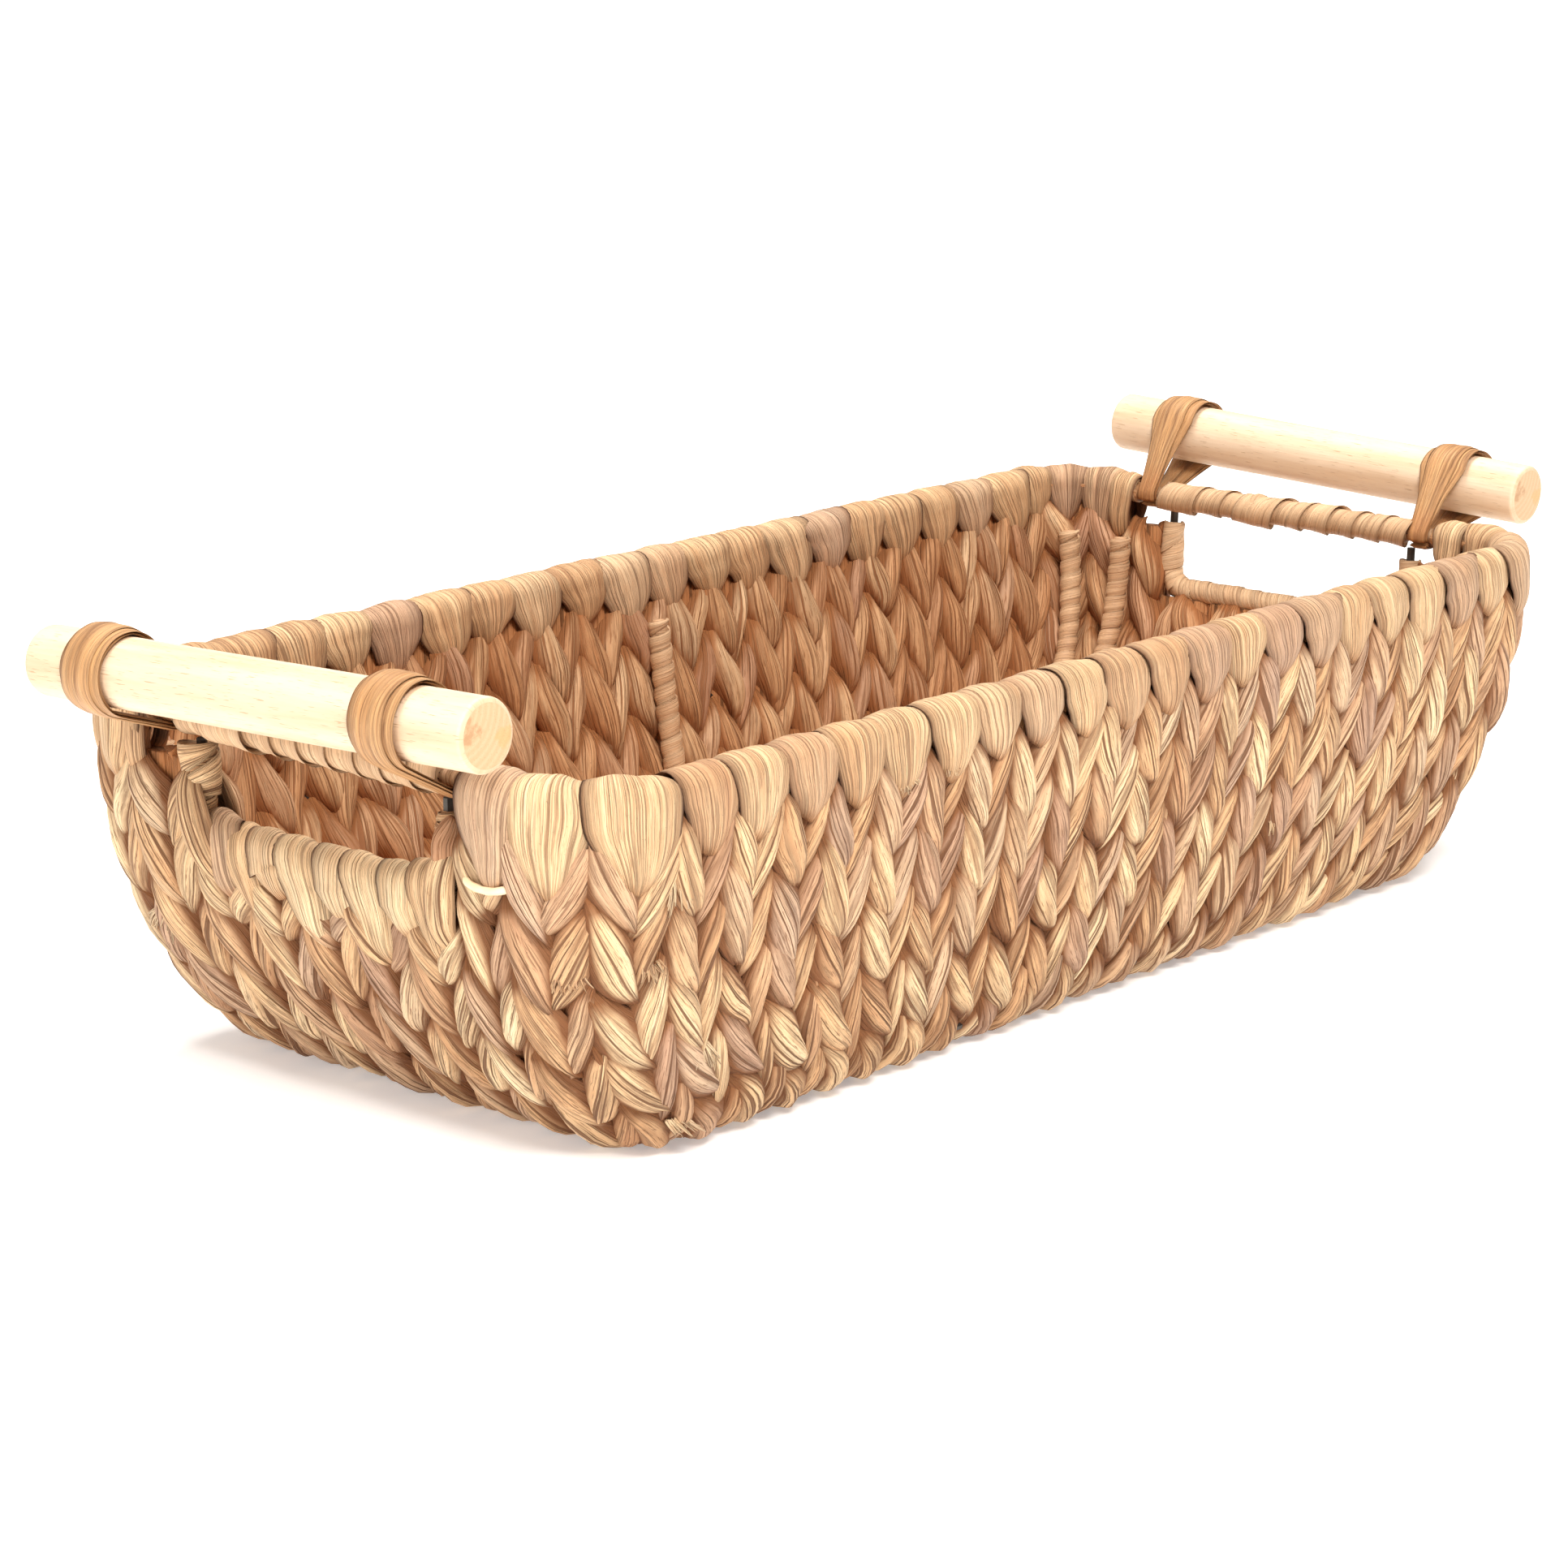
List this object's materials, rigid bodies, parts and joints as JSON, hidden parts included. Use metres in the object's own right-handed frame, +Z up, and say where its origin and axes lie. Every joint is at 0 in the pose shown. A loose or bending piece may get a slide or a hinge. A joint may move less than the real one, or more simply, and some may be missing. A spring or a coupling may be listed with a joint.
{
  "type": "bread basket",
  "caption": "Long low woven basket with rounded corners and flared ends, open handle slots, and a round wooden bar strapped over each end.",
  "frame": {"origin": "centre of the underside, on the surface the basket stands on", "axes": "+X along the length towards the right-hand handle, +Y towards the back long wall, +Z up"},
  "size_m": [0.5072, 0.2042, 0.1347],
  "materials": {
    "wall_hyacinth": "matte dried plant fibre with fine lengthwise grooves",
    "border_hyacinth": "satin dried plant fibre",
    "base_hyacinth": "matte dried plant fibre",
    "wound_hyacinth": "satin, spirally wound leaf",
    "strap_leaf": "satin folded leaf",
    "dowel_wood": "sanded, unvarnished",
    "cane": "smooth split cane",
    "frame_steel": "drawn wire"
  },
  "bodies": {
    "basket": {"back_middle_upright": "frame_steel", "back_middle_upright_wrap": "wound_hyacinth", "back_rim_border": "border_hyacinth", "back_upper_wire": "frame_steel", "back_wall_weave": "wall_hyacinth", "base_ring_wire": "frame_steel", "base_rod_1": "frame_steel", "base_rod_2": "frame_steel", "base_rod_3": "frame_steel", "base_rod_4": "frame_steel", "base_rod_5": "frame_steel", "base_weave": "base_hyacinth", "bottom_ring_wire": "frame_steel", "cane_tie": "cane", "front_middle_upright": "frame_steel", "front_middle_upright_wrap": "wound_hyacinth", "front_rim_border": "border_hyacinth", "front_upper_wire": "frame_steel", "front_wall_weave": "wall_hyacinth", "left_back_corner_upright": "frame_steel", "left_back_corner_upright_wrap": "wound_hyacinth", "left_back_corner_weave": "wall_hyacinth", "left_back_end_upright": "frame_steel", "left_back_end_upright_wrap": "wound_hyacinth", "left_back_post_wrap": "wound_hyacinth", "left_end_weave": "wall_hyacinth", "left_front_corner_upright": "frame_steel", "left_front_corner_upright_wrap": "wound_hyacinth", "left_front_corner_weave": "wall_hyacinth", "left_front_end_upright": "frame_steel", "left_front_end_upright_wrap": "wound_hyacinth", "left_front_post_wrap": "wound_hyacinth", "left_grip_wrap": "wound_hyacinth", "left_opening_frame": "frame_steel", "left_sill_border": "border_hyacinth", "lower_ring_wire": "frame_steel", "mid_ring_wire": "frame_steel", "right_back_corner_upright": "frame_steel", "right_back_corner_upright_wrap": "wound_hyacinth", "right_back_corner_weave": "wall_hyacinth", "right_back_end_upright": "frame_steel", "right_back_end_upright_wrap": "wound_hyacinth", "right_end_weave": "wall_hyacinth", "right_frame_wrap": "wound_hyacinth", "right_front_corner_upright": "frame_steel", "right_front_corner_upright_wrap": "wound_hyacinth", "right_front_corner_weave": "wall_hyacinth", "right_front_end_upright": "frame_steel", "right_front_end_upright_wrap": "wound_hyacinth", "right_grip_wrap": "wound_hyacinth", "right_opening_frame": "frame_steel", "rim_wire": "frame_steel"},
    "left_handle": {"left_front_strap": "strap_leaf", "left_back_strap": "strap_leaf"},
    "left_grip": {"left_dowel": "dowel_wood"},
    "right_handle": {"right_front_strap": "strap_leaf", "right_back_strap": "strap_leaf"},
    "right_grip": {"right_dowel": "dowel_wood"}
  },
  "joints": [
    {"name": "left_handle_swing", "type": "hinge", "parent": "basket", "child": "left_handle", "pos_m": [-0.2225, 0, 0.104], "axis": [0, 1, 0], "range_deg": [-12, 75]},
    {"name": "left_bar_spin", "type": "hinge", "parent": "left_handle", "child": "left_grip", "pos_m": [-0.242, 0.0036, 0.1208], "axis": [0, 0.9993, -0.0384], "continuous": true},
    {"name": "right_handle_swing", "type": "hinge", "parent": "basket", "child": "right_handle", "pos_m": [0.2225, 0, 0.104], "axis": [0, -1, 0], "range_deg": [-12, 75]},
    {"name": "right_bar_spin", "type": "hinge", "parent": "right_handle", "child": "right_grip", "pos_m": [0.242, 0.0013, 0.1208], "axis": [0, 0.9994, 0.0349], "continuous": true}
  ]
}
